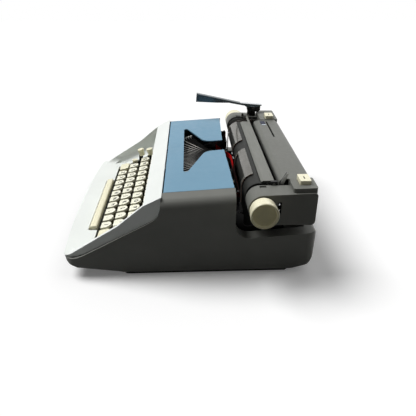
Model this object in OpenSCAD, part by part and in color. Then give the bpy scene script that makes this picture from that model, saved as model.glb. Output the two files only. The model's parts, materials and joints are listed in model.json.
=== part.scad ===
// Portable typewriter, seen from its right side in the reference view.
// Frame: +X to the typist's right, +Y to the rear, +Z up, table at Z = 0, all in millimetres.

/* [Body shell] */
// Overall width of the grey body shell
body_w = 312; // [296:1:330]
// Distance of the front lip from the middle of the machine
body_front = 158.5; // [152:0.5:166]
// Distance of the rear wall from the middle of the machine
body_rear = 159; // [154:0.5:170]
// Wall thickness of the body shell
wall = 2.5; // [2:0.1:3.2]
// Height of the shell's underside above the table
underside_z = 3.5; // [3:0.1:4.5]
// Height of the rear ledge below the carriage
ledge_z = 55; // [50:0.5:56.5]
// Face of the step in front of the carriage
step_y = 58; // [56:0.5:61]
// Height of the side strips at the step
strip_z = 110; // [107:0.5:113]
// Fall of the side strips towards the keyboard, in degrees
strip_fall = 3.4; // [2.5:0.1:4.2]
// Width of each side strip beside the ribbon cover
strip_w = 17; // [14:0.5:20]
// Plan radius of the shell's corners
corner_r = 14; // [8:1:20]
// Bow of the front edge, middle ahead of the corners
front_bow = 8; // [4:0.5:12]
// Rise of the underside towards the front lip, in degrees
front_rise = 8; // [7:0.1:8.2]

/* [Keyboard surround] */
// Thickness of the surround's deck, band and rear wall
deck_t = 2.4; // [2:0.1:3]
// Height of the flat deck in front of the space bar
deck_z = 28.8; // [28.2:0.1:30]
// Front edge of the band above the number row
band_y = -50.4; // [-52:0.2:-49]
// Height of the band's front edge
band_z = 93.6; // [91:0.2:96]
// Rear edge of the band, at the ribbon cover
band_rear_y = -28.5; // [-30:0.1:-27.5]
// Thickness of a cheek at its top edge
cheek_t = 4; // [3:0.1:5]
// Half width over the cheeks' top edges
cheek_x = 150.5; // [149:0.5:152]
// Outward lean of the cheeks, in degrees
cheek_lean = 6.5; // [3:0.5:8]
// Radius of the cove between deck and cheek
cove_r = 12; // [6:1:16]
// Height of the seam to the body shell at the front
seam_z = 25.6; // [25:0.2:26.4]
// Rise of the seam along the sides, in degrees
seam_rise = 28; // [27:0.2:29]

/* [Keys] */
// Distance between keys of one row
key_pitch = 19.05; // [18.6:0.05:19.3]
// Place of the A key, left of the middle
a_key_x = -88; // [-90:0.5:-86]
// Middle of the lowest letter row
row_y = -107.8; // [-109:0.2:-106.5]
// Height of the lowest row's key tops
row_z = 37.1; // [36.4:0.1:38.4]
// Distance between rows, front to back
row_step = 18.75; // [18.2:0.05:19.1]
// Height gained from row to row
row_rise = 8.9; // [8.6:0.05:9.2]
// Width of a key top
key_w = 15; // [13.5:0.1:16]
// Height of a key cap with its skirt
key_h = 7; // [6:0.1:7.4]
// Tilt of the key tops, in degrees
key_tilt = 12; // [6:1:15]
// Thickness of the key levers
lever_t = 1.6; // [1.2:0.1:2]
// Depth of the key levers
lever_h = 5; // [4:0.1:5.4]
// Height of the fulcrum rod
fulcrum_z = 26; // [25.5:0.1:26.6]
// Place of the fulcrum rod, behind the middle
fulcrum_y = 64; // [60:0.5:68]
// Radius of the fulcrum rod
fulcrum_r = 2; // [1.6:0.1:2.4]
// Length of the space bar
space_w = 152; // [140:1:158]
// Place of the space bar's middle
space_x = 14; // [8:1:16]

/* [Type basket] */
// Number of type bars
bar_n = 43; // [31:1:45]
// Half angle of the fan of type bars, in degrees
fan_angle = 60; // [50:1:61]
// Length of the fan, from its centre to the type
fan_r = 86; // [78:1:87]
// Outer radius of the segment that the bars stand on
segment_r = 44; // [40:1:48]
// Thickness of a type bar
bar_t = 0.9; // [0.7:0.05:1]
// Place of the fan's centre
fan_y = 52; // [50:0.5:54]
// Height of the fan's centre
fan_z = 91; // [89:0.5:91.5]
// Dip of the whole fan to the front, in degrees
fan_dip = 6; // [5:0.5:8]
// Rise of each type bar towards its type, in degrees
bar_rise = 8; // [6:0.5:9]

/* [Ribbon] */
// Radius of a ribbon spool's flanges
spool_r = 24; // [20:0.5:25]
// Distance of a spool's axis from the side of the cover's opening
spool_in = 31; // [29:0.5:33]
// Place of the spools, front to back
spool_y = 22; // [20:0.5:24]
// Width of the ribbon
ribbon_h = 13; // [12.5:0.1:13.4]
// Height of the ribbon's lower edge
ribbon_z = 80; // [79.5:0.1:81]

/* [Ribbon cover] */
// Thickness of the ribbon cover
cover_t = 1.6; // [1.2:0.1:2]
// Crown of the cover, middle above the sides
cover_crown = 2.8; // [1:0.2:4]
// Half width of the type opening at the front
funnel_w = 86; // [80:1:90]
// Half width of the type channel at the rear
channel_w = 19.5; // [17:0.5:21]
// Front edge of the type opening
funnel_y = -3.5; // [-6:0.5:0]
// Depth of the notch of the rear edge in the middle
cover_notch = 4.5; // [2:0.5:6]

/* [Carriage] */
// Radius of the platen
platen_r = 16; // [15.6:0.1:16.2]
// Half length of the platen, to its right end
platen_l = 131; // [129:0.5:132]
// Length taken from the platen's left end by the line spacing
spacing_l = 20; // [16:0.5:22]
// Place of the platen's axis
platen_y = 87; // [86.5:0.1:88]
// Height of the platen's axis
platen_z = 95.5; // [95:0.1:96.5]
// Radius of the platen's shaft
shaft_r = 4; // [3.5:0.1:4.5]
// Radius of a platen knob
knob_r = 16.5; // [15.5:0.1:16.6]
// Length of a platen knob
knob_l = 17.5; // [15:0.5:19]
// Length of a carriage end cover
end_l = 27.4; // [25:0.1:30]
// Rear face of the carriage
carriage_rear = 151; // [148:0.5:152]
// Height of the end covers' top
end_z = 111.5; // [110.5:0.1:112]
// Height of the end covers' raised rear block
block_z = 117; // [116:0.2:118]
// Front edge of the paper table
table_y = 110.5; // [110:0.1:112]
// Thickness of the paper table
table_t = 2.2; // [1.8:0.1:2.6]
// Width of the flat paper bail, front to back
bail_w = 14.5; // [12:0.5:15]
// Tip of the return lever, front to back
lever_tip_y = 18; // [12:1:30]
// Height of the return lever's tip
lever_tip_z = 149; // [144:1:152]

/* [Base] */
// Half width of the base pan
pan_x = 154; // [150:0.5:155]
// Front end of the base pan
pan_front = -77; // [-80:0.5:-74]
// Rear end of the base pan
pan_rear = 129; // [126:0.5:132]
// Height of the rubber feet below the pan
foot_h = 1; // [0.8:0.1:1.5]
// Radius of a rubber foot
foot_r = 11; // [9:0.5:13]

/* [Hidden] */
$fn = 48;
run_gap = 0.06;      // radial clearance of a pin in its bore
seat_gap = 0.3;      // clearance between neighbours that only rest near each other
fit_gap = 0.04;      // clearance of a bar in its seat
half_w = body_w / 2;
opening_x = half_w - strip_w;       // half width of the opening for the ribbon cover
spool_x = opening_x - spool_in;
seam_y = -134.5;                    // where the seam starts to rise
top_front_z = strip_z - (step_y - band_rear_y) * tan(strip_fall);

// Rows from the front: shift of the first key from the A key, number of keys
row_shift = [0.5, 0, -0.25, 0.25];
row_names = [
    ["key_z", "key_x", "key_c", "key_v", "key_b", "key_n", "key_m", "key_comma", "key_period", "key_slash"],
    ["key_a", "key_s", "key_d", "key_f", "key_g", "key_h", "key_j", "key_k", "key_l", "key_semicolon",
     "key_quote"],
    ["key_q", "key_w", "key_e", "key_r", "key_t", "key_y", "key_u", "key_i", "key_o", "key_p", "key_half"]
];
number_row = 3;
number_n = 11;

// Places of the keys
function key_x(row, k) = a_key_x + (row_shift[row] + k) * key_pitch;
function key_y(row) = row_y + row * row_step;
function key_z(row) = row_z + row * row_rise;
lever_pitch = key_pitch / 4;
tab_x = key_x(number_row, 0) - key_pitch;
margin_x = tab_x - lever_pitch;
left_shift_x = margin_x - lever_pitch;
right_shift_x = key_x(number_row, number_n - 1) + lever_pitch;
space_arm_left = left_shift_x - 7;
space_arm_right = right_shift_x + 14.4;
frame_x = max(-space_arm_left, space_arm_right) + 3;   // inner face of the frame's side plates
frame_t = 2.5;
lever_z = fulcrum_z - lever_h / 2;
skirt_h = key_h * 0.58;

// Heights inside the machine
pan_floor = foot_h + 2;
rail_z = 58;
rail_h = 8;
rail_y = 115;
rail_w = 14;
shelf_t = 2.3;
shelf_z = ribbon_z - 3 - shelf_t;     // top of the side plates below the shelves
card_bar_z = 62;
card_bar_y = platen_y - platen_r - 4.1;   // rear face of the bar that carries the card holders

// Carriage places
plate_x = platen_l + 3;        // inner face of the carriage's end plates
plate_t = 4;
cover_in = plate_x + plate_t;  // inner end of the carriage end covers
end_x = cover_in + end_l;      // outer end of the carriage end covers
spacing_x = platen_l - spacing_l;     // left end of the platen's rubber
table_left = spacing_x - 7;           // left end of the paper table and the bail
bail_y = table_y - 6.8;        // axis of the paper bail, along its rear edge
bail_z = platen_z + platen_r + 1.4;
block_front = 122.5;
block_base = end_z - 8;     // underside of the block beside the paper table
button_w = 20;
button_l = 13;
button_right = cover_in + 1;
button_left = table_left + 13.5;
button_y = (block_front + carriage_rear) / 2 + 1.5;
post_x = -(cover_in + 12);     // pivot of the return lever
post_y = 113;
post_r = 3;

// Corners [u, v, radius] to a polygon with round corners
function unit(v) = v / norm(v);
function flat(p) = [p[0], p[1]];
function fillet(p, q, s, r, n) =
    let (a = unit(p - q), b = unit(s - q), half = acos(max(-1, min(1, a * b))) / 2)
    r == 0 || half > 89.9 ? [q] :
    let (c = q + unit(a + b) * r / sin(half),
         from = q + a * r / tan(half) - c,
         to = q + b * r / tan(half) - c,
         a0 = atan2(from[1], from[0]),
         turn = (atan2(to[1], to[0]) - a0 + 540) % 360 - 180)
    [for (i = [0:n]) c + r * [cos(a0 + turn * i / n), sin(a0 + turn * i / n)]];
function rounded(pts, n = 5) =
    let (m = len(pts))
    [for (i = [0:m - 1])
        each fillet(flat(pts[(i + m - 1) % m]), flat(pts[i]), flat(pts[(i + 1) % m]), pts[i][2], n)];

// Corners of an anticlockwise outline moved inwards by t
function turned(d) = [-d[1], d[0]];
function inset(pts, t) =
    let (m = len(pts))
    [for (i = [0:m - 1])
        let (p = flat(pts[(i + m - 1) % m]), q = flat(pts[i]), s = flat(pts[(i + 1) % m]),
             n1 = turned(unit(q - p)), n2 = turned(unit(s - q)),
             convex = cross(q - p, s - q) > 0,
             v = q + (n1 + n2) * t / (1 + n1 * n2))
        [v[0], v[1], pts[i][2] == 0 ? 0 : max(pts[i][2] + (convex ? -t : t), 0.2)]];

// Closed outline of a sheet of thickness t on the right of a line of points
function sheet(line, t) =
    let (m = len(line),
         right = [for (i = [0:m - 1])
             let (d1 = unit(line[max(i, 1)] - line[max(i, 1) - 1]),
                  d2 = unit(line[min(i, m - 2) + 1] - line[min(i, m - 2)]),
                  n1 = -turned(d1), n2 = -turned(d2))
             line[i] + (n1 + n2) * t / (1 + n1 * n2)])
    concat(line, [for (i = [m - 1:-1:0]) right[i]]);

// Extrusion helpers: an outline in Y and Z along X, or in X and Z along Y
module along_x(x0, x1) translate([x0, 0, 0]) rotate([90, 0, 90]) linear_extrude(x1 - x0) children();
module along_y(y0, y1) translate([0, y1, 0]) rotate([90, 0, 0]) linear_extrude(y1 - y0) children();
module rod_x(r, x0, x1, y, z) translate([x0, y, z]) rotate([0, 90, 0]) cylinder(r = r, h = x1 - x0);
module both_sides() {
    children();
    mirror([1, 0, 0]) children();
}

// Side line of the seam between surround and body shell, from the front to the rear
seam_end_y = band_rear_y - 3;
seam = [
    [seam_y, seam_z, 45],
    [seam_end_y, seam_z + (seam_end_y - seam_y) * tan(seam_rise), 22],
    [band_rear_y - 0.9, top_front_z - 0.7, 0],
    [band_rear_y, top_front_z, 0]
];

// Body shell: side, top and plan outlines, each moved inwards for the hollow
heel = [pan_front - 6, underside_z + 2.5];
shell_lower = [
    [-body_front - 6, heel[1] + (heel[0] + body_front + 6) * tan(front_rise), 0],
    [heel[0], heel[1], 30], [pan_front + 2, underside_z, 8],
    [pan_rear - 4, underside_z, 10], [body_rear - 8.5, underside_z + 7.2, 8],
    [body_rear - 3, underside_z + 14, 6]
];
shell_side = concat(
    shell_lower,
    [[body_rear, ledge_z + 1.5, 5], [step_y, ledge_z - 6.5, 18], [step_y, strip_z + 3, 0]],
    [[band_rear_y, top_front_z + 3, 0]],
    [for (i = [3:-1:0]) seam[i]],
    [[-body_front, seam_z, 0]]
);
function shell_hollow(t) =
    let (s = inset(shell_side, t))
    concat([[-body_front - 40, s[1][1] + (s[1][0] + body_front + 40) * tan(front_rise), 0]],
           [for (i = [1:7]) s[i]],
           [[step_y - t, strip_z + 60, 0], [-body_front - 40, strip_z + 60, 0]]);
function shoulder(t) =
    let (s = [[-half_w, -60, 0], [half_w, -60, 0], [half_w, strip_z - 5.5, 12], [opening_x, strip_z, 3],
              [-opening_x, strip_z, 3], [-half_w, strip_z - 5.5, 12]])
    rounded(inset(s, t));
function sill(t) = rounded(inset(
    [[-half_w, underside_z, 2.6], [half_w, underside_z, 2.6], [half_w, 200, 0], [-half_w, 200, 0]], t));
function plan(front, t) =
    let (bow = function (x) -front + front_bow * pow(x / half_w, 2),
         edge = [for (i = [-4:4]) [half_w * 0.9 * i / 4, bow(half_w * 0.9 * i / 4), 0]])
    rounded(inset(concat(
        [[-half_w, bow(half_w), corner_r]], edge, [[half_w, bow(half_w), corner_r]],
        [[half_w, body_rear, corner_r], [-half_w, body_rear, corner_r]]), t));
module nose(t) {
    // the front lip curves in below the seam, all along the bowed edge
    r = half_w * half_w / (2 * front_bow);
    spread = 9;
    profile = [
        [r - 60, -20, 0], [r - 14, seam_z - 11.4, 20], [r - 6.5, seam_z - 8.2, 8], [r - 2.4, seam_z - 4.4, 6],
        [r + 3, seam_z + 8, 0], [r + 3, 260, 0], [r - 420, 260, 0], [r - 420, -20, 0]
    ];
    translate([0, -body_front + r, 0]) rotate([0, 0, -90 - spread])
        rotate_extrude(angle = 2 * spread, $fn = 1200) polygon(rounded(inset(profile, t), 3));
}
module shell_volume(side, t) {
    intersection() {
        nose(t);
        along_x(-half_w - 2, half_w + 2) polygon(rounded(side));
        translate([0, step_y, strip_z]) rotate([strip_fall, 0, 0]) translate([0, -step_y, -strip_z])
            along_y(-260, 260) polygon(shoulder(t));
        along_y(-260, 260) polygon(sill(t));
        linear_extrude(260) polygon(plan(body_front - 0.7, t));
    }
}
hinge_y = band_rear_y + 4.5;         // axis of the ribbon cover
hinge_z = top_front_z - 2.6;
hinge_r = 1.5;
module body_shell() {
    pan_gap_x = frame_x + frame_t + 1.1;
    color("#3b3c3d") difference() {
        union() {
            difference() {
                shell_volume(shell_side, 0);
                shell_volume(shell_hollow(wall), wall);
                // opening for the ribbon cover, and for the works under the carriage
                translate([-opening_x, band_rear_y - 30, strip_z - 25])
                    cube([2 * opening_x, step_y - band_rear_y + 40, 60]);
                translate([-opening_x, step_y - 10, ledge_z - 12])
                    cube([2 * opening_x, body_rear - step_y - 4, 60]);
            }
            both_sides() intersection() {
                shell_volume(shell_side, 0);
                union() {
                    // inner flange of the strip, with the ledge that the cover rests on
                    translate([opening_x, band_rear_y + 1, strip_z - 16])
                        cube([wall, step_y - band_rear_y - 1, 30]);
                    translate([opening_x - 9, hinge_y + 8, strip_z - 16])
                        cube([9 + wall, step_y - hinge_y - 9, 2]);
                }
            }
            both_sides() rod_x(hinge_r, opening_x - 9, opening_x + 1, hinge_y, hinge_z);
        }
        // opening in the underside above the base pan
        translate([-pan_gap_x, pan_front + 8, 0])
            cube([2 * pan_gap_x, pan_rear - pan_front - 16, underside_z + 8]);
        // the surround's band and cheeks end here
        translate([-cheek_x - 2, band_rear_y - 32, band_z - 30]) cube([2 * cheek_x + 4, 32 + 0.1, 90]);
    }
}

// Keyboard surround: deck, rear wall and band as one bent sheet between two cheeks
deck_fold_y = key_y(0) - 4;
deck_slope = atan2(row_rise, row_step);
well_rear_y = key_y(3) + 12;
well_rear = [well_rear_y, deck_z + (well_rear_y - deck_fold_y) * tan(deck_slope)];
deck_line = [
    [-body_front, deck_z - 0.9], [-body_front + 2.6, deck_z], [deck_fold_y, deck_z], well_rear,
    [band_y + 1, band_z - 1.4], [band_y, band_z], [band_rear_y, top_front_z]
];
cheek_foot = deck_z + 0.2;
cheek_rise = atan2(band_z - cheek_foot, band_y + 143.7);
cheek_line = concat(
    [[-body_front, seam_z, 0]],
    seam,
    [[band_y, band_z, 6], [band_y - 32, band_z - 26.3, 60], [-143.7, cheek_foot, 12],
     [-body_front, deck_z - 0.7, 0]]
);
module key_opening() {
    // hugs the space bar, the shift keys and the block of rows
    side = key_w / 2 + 2.4;
    left = left_shift_x - 11;
    right = right_shift_x + 16.2;
    front = key_y(0) - 12.6;
    polygon(rounded([
        [space_x - space_w / 2 - 3, front - 12.6, 3], [space_x + space_w / 2 + 3, front - 12.6, 3],
        [space_x + space_w / 2 + 3, front, 2], [right, front, 3], [right, key_y(0) + 9.5, 3],
        [right_shift_x + 5, key_y(0) + 9.5, 2], [right_shift_x + 5, well_rear[0] - 1.5, 2],
        [margin_x - 7.5, well_rear[0] - 1.5, 2], [left, key_y(2) - 12, 3],
        [left, front, 3], [space_x - space_w / 2 - 3, front, 2]
    ]));
}
module cove(length) {
    // concave fillet, its corner at the origin, running along +Y
    along_y(0, length) polygon(concat(
        [[1, -1], [1, cove_r * 0.9], [0, cove_r * 0.9]],
        [for (a = [-6:-11.15:-84]) cove_r * [cos(a) - 1, sin(a) + 1]],
        [[-cove_r * 0.9, 0], [-cove_r * 0.9, -1]]));
}
module keyboard_surround() {
    in_x = cheek_x - cheek_t;
    slope_l = norm(well_rear - [deck_fold_y, deck_z]);
    color("#d9dcd9") intersection() {
        translate([0, 0, seam_z]) linear_extrude(200) polygon(plan(body_front, 0));
        translate([-half_w, -body_front, 0]) cube([body_w, body_front + band_rear_y, 200]);
        difference() {
            union() {
                along_x(-in_x - 1, in_x + 1) polygon(sheet(deck_line, deck_t));
                both_sides() {
                    difference() {
                        along_x(in_x, half_w + 4) polygon(rounded(cheek_line));
                        translate([cheek_x, band_y, band_z]) rotate([cheek_rise, 0, 0])
                            rotate([0, -cheek_lean, 0]) translate([0, -300, -300]) cube([90, 600, 600]);
                    }
                    intersection() {
                        union() {
                            translate([in_x, deck_fold_y, deck_z]) rotate([deck_slope, 0, 0])
                                cove(slope_l - 1);
                            translate([in_x, -body_front + 14, deck_z])
                                cove(deck_fold_y + body_front - 13);
                        }
                        along_x(in_x - cove_r, in_x + 1) polygon(rounded(cheek_line));
                    }
                }
            }
            linear_extrude(well_rear[1] + 12) key_opening();
        }
    }
}

// Base pan on four rubber feet
module base_pan() {
    front = pan_front - 4;
    outer = [[-pan_x, front, 8], [pan_x, front, 8], [pan_x, pan_rear, 8], [-pan_x, pan_rear, 8]];
    color("#151515") difference() {
        intersection() {
            translate([0, 0, foot_h]) linear_extrude(underside_z - foot_h) polygon(rounded(outer));
            along_x(-pan_x - 1, pan_x + 1) polygon([
                [front, underside_z + 1], [pan_front, foot_h - 0.1], [pan_rear - 7, foot_h - 0.1],
                [pan_rear, underside_z + 1]]);
        }
        translate([0, 0, pan_floor]) linear_extrude(20) polygon(rounded(inset(outer, 4)));
        for (p = foot_places())
            translate([p[0], p[1], 0]) cylinder(r = foot_r * 0.35 + 0.1, h = 20);
    }
}
function foot_places() =
    [for (x = [-1, 1], y = [pan_front + 20, pan_rear - 20]) [x * (pan_x - 35), y]];
module rubber_feet() {
    color("#0c0c0c") for (p = foot_places()) translate([p[0], p[1], 0]) {
        cylinder(r = foot_r, h = foot_h);
        cylinder(r = foot_r * 0.35, h = pan_floor);
    }
}

// Main frame: two side plates, cross bars, the carriage rail, spool shelves and posts
basket_bar_z = 46;
basket_post_x = 26;
basket_post_y = fan_y - 21;
basket_post_r = 3;
module side_plate() {
    along_x(frame_x, frame_x + frame_t) difference() {
        polygon(rounded([
            [pan_front + 14, pan_floor, 0], [pan_rear - 8, pan_floor, 0], [pan_rear - 8, 40, 4],
            [rail_y + 5, rail_z + 1, 0], [rail_y - 5, rail_z + 1, 0], [card_bar_y + 6, card_bar_z - 10, 6],
            [card_bar_y, card_bar_z, 0], [card_bar_y - 8, card_bar_z, 4], [spool_y + 28, shelf_z, 0],
            [spool_y - 26, shelf_z, 4], [pan_front + 30, 34, 8], [pan_front + 14, 30, 5]
        ]));
        // seats of the bars
        for (seat = bar_seats()) translate([seat[0] - fit_gap, seat[1] - fit_gap])
            square([seat[2] + 2 * fit_gap, seat[3] + 2 * fit_gap]);
        translate([fulcrum_y, fulcrum_z]) circle(r = fulcrum_r + fit_gap);
        translate([14, 44]) circle(r = 17);
        translate([96, 34]) circle(r = 13);
    }
}
// Bars across the frame: [y, z, depth, height] of each section
function bar_seats() = [
    [basket_post_y - 6, basket_bar_z - 6, 12, 7], [card_bar_y - 6, card_bar_z - 6, 6, 6],
    [rail_y - rail_w / 2, rail_z, rail_w, rail_h], [pan_front + 18, pan_floor + 1, 4, 9]
];
module spool_shelf() {
    // shelf on the side plate, with the spindle of a ribbon spool and the post that turns the ribbon
    translate([spool_x - 20, spool_y - 26, shelf_z + fit_gap]) cube([44, 54, shelf_t]);
    translate([guide_x - 5, spool_y + 20, shelf_z + fit_gap])
        cube([frame_x + frame_t - guide_x + 8, guide_y + 4.6 - spool_y - 20, shelf_t]);
    translate([spool_x, spool_y, shelf_z + 1]) cylinder(r = 2.5, h = ribbon_h + 9);
    translate([guide_x, guide_y, shelf_z + 1]) cylinder(r = guide_r, h = ribbon_h + 6);
}
module main_frame() {
    span = 2 * (frame_x + frame_t);
    seats = bar_seats();
    color("#2a2b2c") {
        both_sides() {
            side_plate();
            spool_shelf();
        }
        union() {
            translate([-span / 2, seats[0][0], seats[0][1]]) cube([span, seats[0][2], seats[0][3]]);
            both_sides() translate([basket_post_x, basket_post_y, basket_bar_z])
                cylinder(r = basket_post_r, h = sleeve_bore - basket_drop - seat_gap - basket_bar_z);
        }
        for (i = [1:3])
            translate([-span / 2, seats[i][0], seats[i][1]]) cube([span, seats[i][2], seats[i][3]]);
        rod_x(fulcrum_r, -frame_x - frame_t, frame_x + frame_t, fulcrum_y, fulcrum_z);
    }
}

// Keys: a cap with a dished top and a skirt, a stem and a lever that turns on the fulcrum rod
module key_outline(w) {
    // flat in front, round at the rear
    circle(r = w / 2);
    translate([-w / 2, -w / 2]) square([w, w / 2]);
}
module key_cap() {
    difference() {
        union() {
            translate([0, 0, -key_h]) linear_extrude(skirt_h) key_outline(key_w);
            translate([0, 0, -key_h + skirt_h]) linear_extrude(key_h - skirt_h) key_outline(key_w - 1);
        }
        translate([0, 0, 44 - 0.6]) sphere(r = 44);
    }
}
module lever(x, from_y) {
    // bar from the key to the fulcrum, with an eye on the rod
    translate([x, 0, 0]) along_x(-lever_t / 2, lever_t / 2) difference() {
        union() {
            translate([from_y, lever_z]) square([fulcrum_y - from_y, lever_h]);
            translate([fulcrum_y, fulcrum_z]) circle(r = fulcrum_r + 2.2);
        }
        translate([fulcrum_y, fulcrum_z]) circle(r = fulcrum_r + run_gap);
    }
}
module stem(x, y, top) {
    translate([x - lever_t / 2, y - 3.2, lever_z]) cube([lever_t, 6.4, top - lever_z]);
}
module key(x, y, z) {
    difference() {
        union() {
            translate([x, y, z]) rotate([key_tilt, 0, 0]) key_cap();
            stem(x, y, z - key_h + 1);
        }
    }
    lever(x, y - 3.2);
}
module letter_key(row, k) {
    color("#f2efd6") union() key(key_x(row, k), key_y(row), key_z(row));
}
module number_keys() {
    color("#f2efd6") for (k = [0:number_n - 1])
        union() key(key_x(number_row, k), key_y(number_row), key_z(number_row));
}
module round_key(x, y, z, offset) {
    // tall round key on the left of the rows, its head beside its lever
    color("#f2efd6") union() {
        translate([x - offset, y, z]) rotate([key_tilt, 0, 0]) difference() {
            union() {
                translate([0, 0, -11]) cylinder(r1 = 4.4, r2 = 4.9, h = 7.5);
                translate([0, 0, -3.5]) cylinder(r = 5.2, h = 3.5);
            }
            translate([0, 0, 24.5]) sphere(r = 25);
        }
        stem(x, y, z - 10);
        lever(x, y - 3.2);
    }
}
module tab_key() { round_key(tab_x, key_y(3) - 12.2, row_z + 31, 3.7); }
module margin_release_key() { round_key(margin_x, key_y(2) - 8.4, row_z + 30, 0); }

// Space bar on two arms outside the key levers, tied by a bail in front of the lowest row
module space_bar() {
    bar_y = key_y(0) - 18.4;
    bar_z = deck_z + 4.2;
    bar_d = 10.4;
    tie_y = bar_y;
    tie_z = lever_z;
    color("#efecc9") union() {
        along_x(space_x - space_w / 2, space_x + space_w / 2) polygon(rounded([
            [bar_y - bar_d / 2, bar_z - 7, 0], [bar_y + bar_d / 2, bar_z - 7, 0],
            [bar_y + bar_d / 2, bar_z + 0.8, 3], [bar_y - bar_d / 2, bar_z - 0.8, 3]
        ]));
        for (x = [space_x - space_w / 2 + 20, space_x + space_w / 2 - 24])
            translate([x, tie_y - 2, tie_z]) cube([4, 4, bar_z - 6 - tie_z]);
        translate([space_arm_left - lever_t / 2, tie_y - 2, tie_z])
            cube([space_arm_right - space_arm_left + lever_t, 4, 2.5]);
        for (x = [space_arm_left, space_arm_right]) {
            translate([x - lever_t / 2, tie_y, tie_z]) cube([lever_t, 9, 2.5]);
            lever(x, tie_y + 7);
        }
    }
}

// Left and right shift with the shift lock, tied behind the fulcrum by one bar
module shift_block(x, w) {
    l = 15.5;
    translate([x, key_y(0), row_z]) rotate([key_tilt, 0, 0]) translate([0, 0, -key_h]) {
        linear_extrude(skirt_h) polygon(rounded(
            [[-w / 2, -l / 2, 2], [w / 2, -l / 2, 2], [w / 2, l / 2, 3], [-w / 2, l / 2, 3]]));
        translate([0, 0, skirt_h]) linear_extrude(key_h - skirt_h) polygon(rounded(
            [[-w / 2 + 0.6, -l / 2 + 0.6, 2], [w / 2 - 0.6, -l / 2 + 0.6, 2],
             [w / 2 - 0.6, l / 2 - 0.6, 3], [-w / 2 + 0.6, l / 2 - 0.6, 3]]));
    }
}
module shift_keys() {
    tie_y = fulcrum_y + fulcrum_r + 6;
    lock_y = key_y(1) - 1;
    lock_z = key_z(1) + 0.4;
    color("#f2efd6") union() {
        shift_block(left_shift_x + 7, 24.6);
        shift_block(right_shift_x + 2.6, 19);
        stem(left_shift_x, key_y(0), row_z - key_h + 1);
        stem(right_shift_x, key_y(0), row_z - key_h + 1);
        // shift lock stands on the left shift's lever
        translate([left_shift_x, lock_y, lock_z - 5]) cylinder(r = 4.6, h = 5);
        stem(left_shift_x, lock_y, lock_z - 4);
        for (x = [left_shift_x, right_shift_x]) {
            lever(x, key_y(0) - 3.2);
            translate([x - lever_t / 2, fulcrum_y + fulcrum_r + 0.6, lever_z])
                cube([lever_t, tie_y - fulcrum_y - fulcrum_r + 2, lever_h]);
        }
        translate([left_shift_x - lever_t / 2, tie_y, lever_z])
            cube([right_shift_x - left_shift_x + lever_t, 3, lever_h]);
    }
}

// Type basket: a slotted segment that slides on two posts, and the fan of type bars on it
bar_z = 2.5;          // height of the segment's step that the bars stand on
bar_h = 4;
bar_start = segment_r - 10;
basket_drop = 6;      // travel of the basket with the shift keys
function lift(r) = (r - segment_r) * tan(bar_rise);
function lifted(pts) = [for (p = pts) [p[0], p[1] + lift(p[0])]];
module in_fan() translate([0, fan_y, fan_z]) rotate([fan_dip, 0, 0]) children();
// underside of the segment above a post, and the end of the bore below it
post_lift = lift(norm([basket_post_x, fan_y - basket_post_y])) - (fan_y - basket_post_y) * sin(fan_dip);
sleeve_top = fan_z + post_lift + bar_z / 2;
sleeve_bore = fan_z + post_lift - 1;
module type_segment() {
    color("#5a5b5c") difference() {
        union() {
            in_fan()
                rotate([0, 0, -90 - fan_angle - 4]) rotate_extrude(angle = 2 * (fan_angle + 4)) polygon(lifted([
                    [segment_r - 20, 0], [segment_r, 0], [segment_r, bar_z], [bar_start - seat_gap, bar_z],
                    [bar_start - seat_gap, bar_z + bar_h + 1.5], [segment_r - 20, bar_z + bar_h + 1.5]]));
            both_sides() translate([basket_post_x, basket_post_y, sleeve_top - 22])
                cylinder(r = basket_post_r + 3, h = 22);
        }
        both_sides() translate([basket_post_x, basket_post_y, 0])
            cylinder(r = basket_post_r + run_gap, h = sleeve_bore);
        // radial slots in the raised rim, one for each bar
        in_fan() for (i = [0:bar_n - 1])
            rotate([0, 0, bar_angle(i)]) translate([-bar_t * 0.3, -bar_start - 1, bar_z + bar_h - 1.5 + lift(bar_start)])
                cube([bar_t * 0.6, 6, 4]);
    }
}
function bar_angle(i) = -fan_angle + 2 * fan_angle * i / (bar_n - 1);
module typebars() {
    color("#8d8f90") in_fan() for (i = [0:bar_n - 1]) rotate([0, 0, bar_angle(i)]) union() {
        translate([0, 0, bar_z]) rotate([90, 0, -90]) translate([0, 0, -bar_t / 2]) linear_extrude(bar_t)
            polygon(lifted([[bar_start, 0], [segment_r + 3, 0], [fan_r - 8, 0.8], [fan_r, 0.8],
                            [fan_r, bar_h + 1.4], [fan_r - 8, bar_h], [bar_start, bar_h]]));
        // type slug at the end of the bar
        translate([-1.1, -fan_r - 2.4, bar_z + lift(fan_r) + 0.4]) cube([2.2, 3, bar_h + 1.4]);
    }
}

// Ribbon spools, the ribbon between them and its vibrator at the printing point
ribbon_t = 0.6;
ribbon_y = card_bar_y - 0.6;
guide_x = spool_x + 8.5;
guide_r = 1.8;
ribbon_turn = guide_r + fit_gap + ribbon_t;       // radius of the ribbon's outer face round a guide post
guide_y = ribbon_y - ribbon_turn;
pack_r = spool_r - 5;
module ribbon_spool() {
    difference() {
        union() {
            translate([0, 0, shelf_z + shelf_t + 0.2]) cylinder(r = 7, h = ribbon_z - shelf_z - shelf_t);
            translate([0, 0, ribbon_z - 1]) cylinder(r = spool_r, h = 0.9);
            translate([0, 0, ribbon_z - 0.5]) cylinder(r = pack_r, h = ribbon_h + 1);
            translate([0, 0, ribbon_z + ribbon_h + 0.1]) difference() {
                cylinder(r = spool_r, h = 0.9);
                // three windows in the upper flange show the wound ribbon
                for (a = [0:120:240]) rotate([0, 0, a]) translate([spool_r * 0.56, 0, 0.45])
                    cylinder(r = spool_r * 0.2, h = 2);
            }
            translate([0, 0, ribbon_z + ribbon_h]) cylinder(r = 5, h = 4);
        }
        cylinder(r = 2.5 + run_gap, h = 200);
    }
}
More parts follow.
